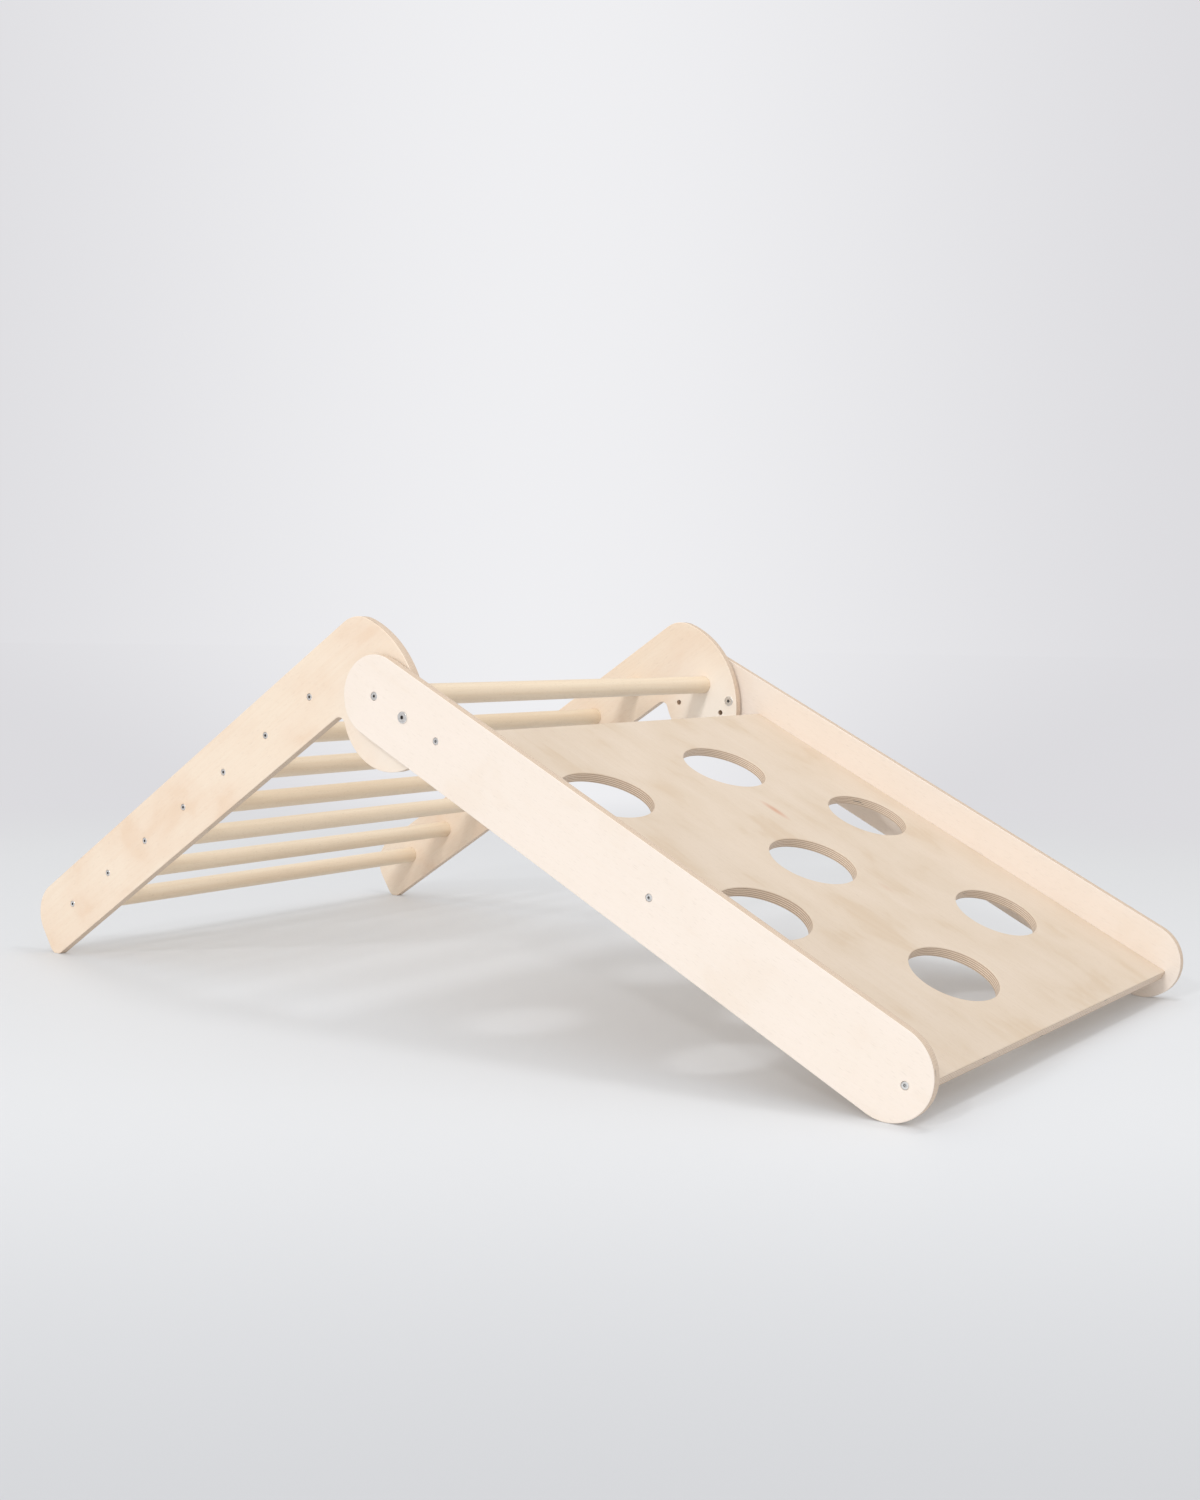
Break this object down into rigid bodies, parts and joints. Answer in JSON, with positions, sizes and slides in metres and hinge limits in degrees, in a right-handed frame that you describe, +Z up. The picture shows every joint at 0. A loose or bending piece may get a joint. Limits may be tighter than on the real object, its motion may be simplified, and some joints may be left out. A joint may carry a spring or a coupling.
{
  "type": "toddler slide",
  "caption": "Folding plywood climbing frame: a rung ladder hinged at its top rung to a slide board with side rails and oval hand holes, held open by lock bolts.",
  "frame": {"origin": "on the floor, midway along the overall length and midway between the two sides", "axes": "+X points to the low end of the slide, +Z is up, +Y points to the far side"},
  "size_m": [1.6449, 0.8848, 0.5676],
  "materials": {
    "ply_frame": "birch plywood, clear matt oil",
    "ply_rail": "birch plywood, clear matt oil",
    "ply_board": "birch plywood, clear satin lacquer",
    "dowel": "turned hardwood, clear matt oil",
    "steel": "zinc plated, slightly dull",
    "brass": "plain",
    "nylon": "natural nylon"
  },
  "bodies": {
    "climber": {"climber_side_near": "ply_frame", "climber_side_far": "ply_frame", "rung_1": "dowel", "rung_2": "dowel", "rung_3": "dowel", "rung_4": "dowel", "rung_5": "dowel", "rung_6": "dowel", "rung_7": "dowel", "head_rung": "dowel", "head_insert_near": "brass", "head_insert_far": "brass", "rung_screws_near": "steel", "rung_screws_far": "steel", "pivot_bolt_near": "steel", "pivot_bolt_far": "steel", "pivot_washer_near": "nylon", "pivot_washer_far": "nylon", "lock_nut_near": "steel", "lock_nut_far": "steel"},
    "slide": {"slide_rail_near": "ply_rail", "slide_rail_far": "ply_rail", "slide_board": "ply_board", "board_screws_near": "steel", "board_screws_far": "steel"},
    "near_lock": {"lock_bolt_near": "steel"},
    "far_lock": {"lock_bolt_far": "steel"}
  },
  "joints": [
    {"name": "fold", "type": "hinge", "parent": "climber", "child": "slide", "pos_m": [-0.03437, 0, 0.457], "axis": [0, 1, 0], "range_deg": [0, 120.26]},
    {"name": "near_lock_pull", "type": "slide", "parent": "slide", "child": "near_lock", "axis": [0, -1, 0], "range_m": [0, 0.03]},
    {"name": "far_lock_pull", "type": "slide", "parent": "slide", "child": "far_lock", "axis": [0, 1, 0], "range_m": [0, 0.03]}
  ]
}
